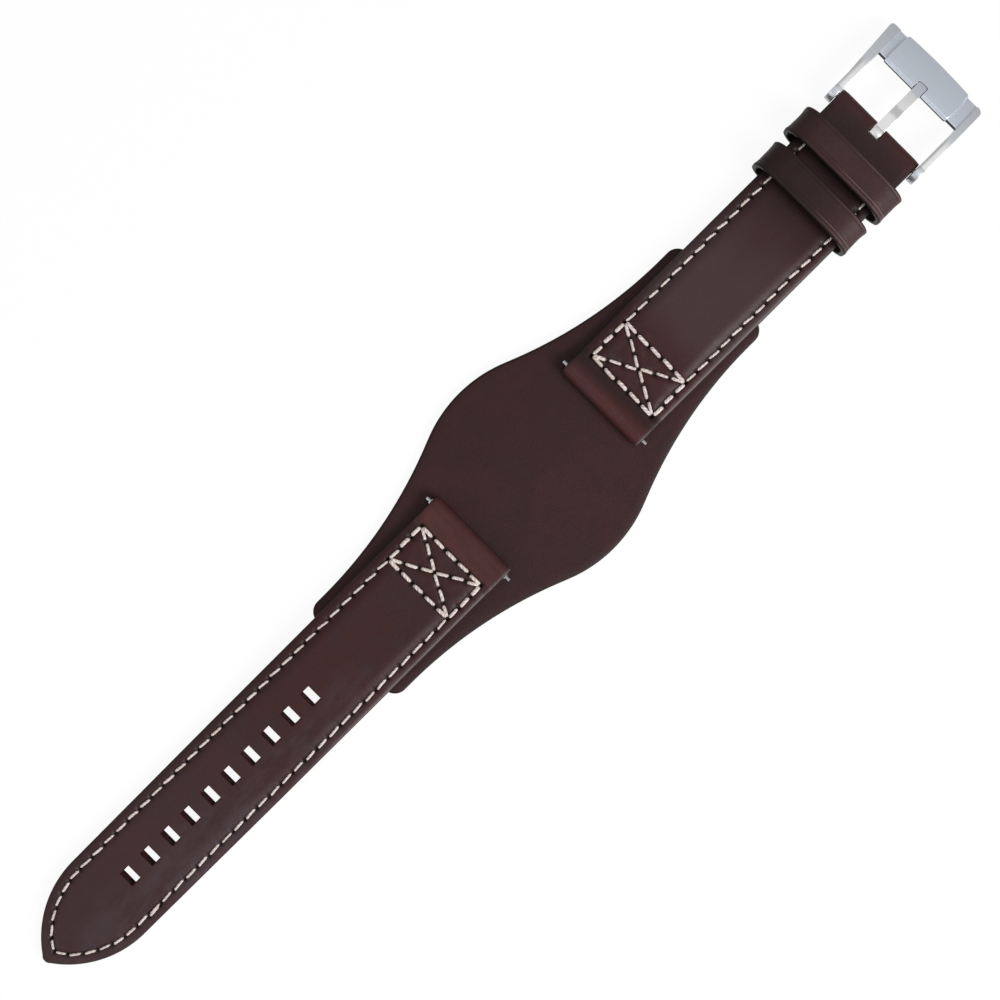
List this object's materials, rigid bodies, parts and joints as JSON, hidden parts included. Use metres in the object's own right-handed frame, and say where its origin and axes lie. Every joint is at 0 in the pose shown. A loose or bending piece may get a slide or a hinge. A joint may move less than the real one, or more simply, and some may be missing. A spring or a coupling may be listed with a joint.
{
  "type": "leather watch strap",
  "caption": "Wide leather cuff strap for a wristwatch: pad under the watch, two stitched strap halves, two keepers, pin buckle and spring bars.",
  "frame": {"origin": "middle of the pad's underside, where it lies on the wrist", "axes": "+X along the strap towards the buckle, +Y across it, +Z away from the wrist"},
  "size_m": [0.2847, 0.0494, 0.0092],
  "materials": {
    "pad_leather": "smooth waxed, dark brown",
    "grain_leather": "smooth waxed, dark brown with a pull-up at the folds",
    "keeper_leather": "smooth, creased along both rims",
    "lining": "matte nubuck",
    "filler": "rough split leather",
    "thread": "waxed linen thread, cream",
    "steel": "satin",
    "bar_steel": "fine turned",
    "spring_steel": "drawn wire"
  },
  "bodies": {
    "root": {"pad_centre": "pad_leather", "long_lug_leather": "grain_leather", "long_lug_filler": "filler", "long_box_thread": "thread", "short_lug_leather": "grain_leather", "short_lug_filler": "filler", "short_box_thread": "thread"},
    "long_1": {"pad_wing_long": "pad_leather", "long_leather_1": "grain_leather", "long_filler_1": "filler", "long_lining_1": "lining", "long_thread_1": "thread"},
    "long_2": {"long_leather_2": "grain_leather", "long_filler_2": "filler", "long_lining_2": "lining", "long_thread_2": "thread"},
    "long_3": {"long_leather_3": "grain_leather", "long_filler_3": "filler", "long_lining_3": "lining", "long_thread_3": "thread"},
    "long_4": {"long_leather_4": "grain_leather", "long_filler_4": "filler", "long_lining_4": "lining", "long_thread_4": "thread"},
    "long_5": {"long_leather_5": "grain_leather", "long_filler_5": "filler", "long_lining_5": "lining", "long_thread_5": "thread"},
    "short_1": {"pad_wing_short": "pad_leather", "short_leather_1": "grain_leather", "short_filler_1": "filler", "short_lining_1": "lining", "short_thread_1": "thread"},
    "short_2": {"short_leather_2": "grain_leather", "short_filler_2": "filler", "short_lining_2": "lining", "short_thread_2": "thread", "fixed_keeper": "keeper_leather"},
    "keeper": {"free_keeper": "keeper_leather"},
    "buckle": {"buckle_frame": "steel"},
    "tongue": {"buckle_tongue": "steel"},
    "long_lug_bar": {"long_lug_bar_tube": "bar_steel", "long_lug_bar_spring": "spring_steel"},
    "long_lug_plunger_left": {"long_lug_bar_plunger_left": "bar_steel"},
    "long_lug_plunger_right": {"long_lug_bar_plunger_right": "bar_steel"},
    "short_lug_bar": {"short_lug_bar_tube": "bar_steel", "short_lug_bar_spring": "spring_steel"},
    "short_lug_plunger_left": {"short_lug_bar_plunger_left": "bar_steel"},
    "short_lug_plunger_right": {"short_lug_bar_plunger_right": "bar_steel"},
    "buckle_bar": {"buckle_bar_tube": "bar_steel", "buckle_bar_spring": "spring_steel"},
    "buckle_plunger_left": {"buckle_bar_plunger_left": "bar_steel"},
    "buckle_plunger_right": {"buckle_bar_plunger_right": "bar_steel"}
  },
  "joints": [
    {"name": "long_bend_1", "type": "hinge", "parent": "root", "child": "long_1", "pos_m": [-0.04, 0, 0.0018], "axis": [0, -1, 0], "range_deg": [-10, 30], "stiffness_Nm_per_rad": 0.01},
    {"name": "long_bend_2", "type": "hinge", "parent": "long_1", "child": "long_2", "pos_m": [-0.06184, 0, 0.0028], "axis": [0, -1, 0], "range_deg": [-20, 35], "stiffness_Nm_per_rad": 0.01},
    {"name": "long_bend_3", "type": "hinge", "parent": "long_2", "child": "long_3", "pos_m": [-0.08726, 0, 0.001], "axis": [0, -1, 0], "range_deg": [-15, 40], "stiffness_Nm_per_rad": 0.01},
    {"name": "long_bend_4", "type": "hinge", "parent": "long_3", "child": "long_4", "pos_m": [-0.11274, 0, 0.001], "axis": [0, -1, 0], "range_deg": [-20, 40], "stiffness_Nm_per_rad": 0.01},
    {"name": "long_bend_5", "type": "hinge", "parent": "long_4", "child": "long_5", "pos_m": [-0.13504, 0, 0.001], "axis": [0, -1, 0], "range_deg": [-20, 40], "stiffness_Nm_per_rad": 0.01},
    {"name": "short_bend_1", "type": "hinge", "parent": "root", "child": "short_1", "pos_m": [0.04, 0, 0.0018], "axis": [0, 1, 0], "range_deg": [-10, 30], "stiffness_Nm_per_rad": 0.01},
    {"name": "short_bend_2", "type": "hinge", "parent": "short_1", "child": "short_2", "pos_m": [0.063, 0, 0.0028], "axis": [0, 1, 0], "range_deg": [-20, 40], "stiffness_Nm_per_rad": 0.01},
    {"name": "keeper_slide", "type": "slide", "parent": "short_2", "child": "keeper", "axis": [1, 0, 0], "range_m": [-0.017, 0.0025]},
    {"name": "buckle_swing", "type": "hinge", "parent": "short_2", "child": "buckle", "pos_m": [0.1072, 0, 0.00375], "axis": [0, 1, 0], "range_deg": [-85, 110]},
    {"name": "tongue_swing", "type": "hinge", "parent": "buckle", "child": "tongue", "pos_m": [0.1072, 0, 0.00375], "axis": [0, -1, 0], "range_deg": [0, 85]},
    {"name": "long_lug_bar_spin", "type": "hinge", "parent": "root", "child": "long_lug_bar", "pos_m": [-0.0216, 0, 0.0039], "axis": [0, 1, 0], "continuous": true},
    {"name": "long_lug_plunger_left_press", "type": "slide", "parent": "long_lug_bar", "child": "long_lug_plunger_left", "axis": [0, -1, 0], "range_m": [0, 0.0012], "stiffness_N_per_m": 1500, "deforming": ["long_lug_bar_spring"]},
    {"name": "long_lug_plunger_right_press", "type": "slide", "parent": "long_lug_bar", "child": "long_lug_plunger_right", "axis": [0, 1, 0], "range_m": [0, 0.0012], "stiffness_N_per_m": 1500, "deforming": ["long_lug_bar_spring"]},
    {"name": "short_lug_bar_spin", "type": "hinge", "parent": "root", "child": "short_lug_bar", "pos_m": [0.0216, 0, 0.0039], "axis": [0, 1, 0], "continuous": true},
    {"name": "short_lug_plunger_left_press", "type": "slide", "parent": "short_lug_bar", "child": "short_lug_plunger_left", "axis": [0, -1, 0], "range_m": [0, 0.0012], "stiffness_N_per_m": 1500, "deforming": ["short_lug_bar_spring"]},
    {"name": "short_lug_plunger_right_press", "type": "slide", "parent": "short_lug_bar", "child": "short_lug_plunger_right", "axis": [0, 1, 0], "range_m": [0, 0.0012], "stiffness_N_per_m": 1500, "deforming": ["short_lug_bar_spring"]},
    {"name": "buckle_bar_spin", "type": "hinge", "parent": "short_2", "child": "buckle_bar", "pos_m": [0.1072, 0, 0.00375], "axis": [0, 1, 0], "continuous": true},
    {"name": "buckle_plunger_left_press", "type": "slide", "parent": "buckle_bar", "child": "buckle_plunger_left", "axis": [0, -1, 0], "range_m": [0, 0.0012], "stiffness_N_per_m": 1500, "deforming": ["buckle_bar_spring"]},
    {"name": "buckle_plunger_right_press", "type": "slide", "parent": "buckle_bar", "child": "buckle_plunger_right", "axis": [0, 1, 0], "range_m": [0, 0.0012], "stiffness_N_per_m": 1500, "deforming": ["buckle_bar_spring"]}
  ]
}
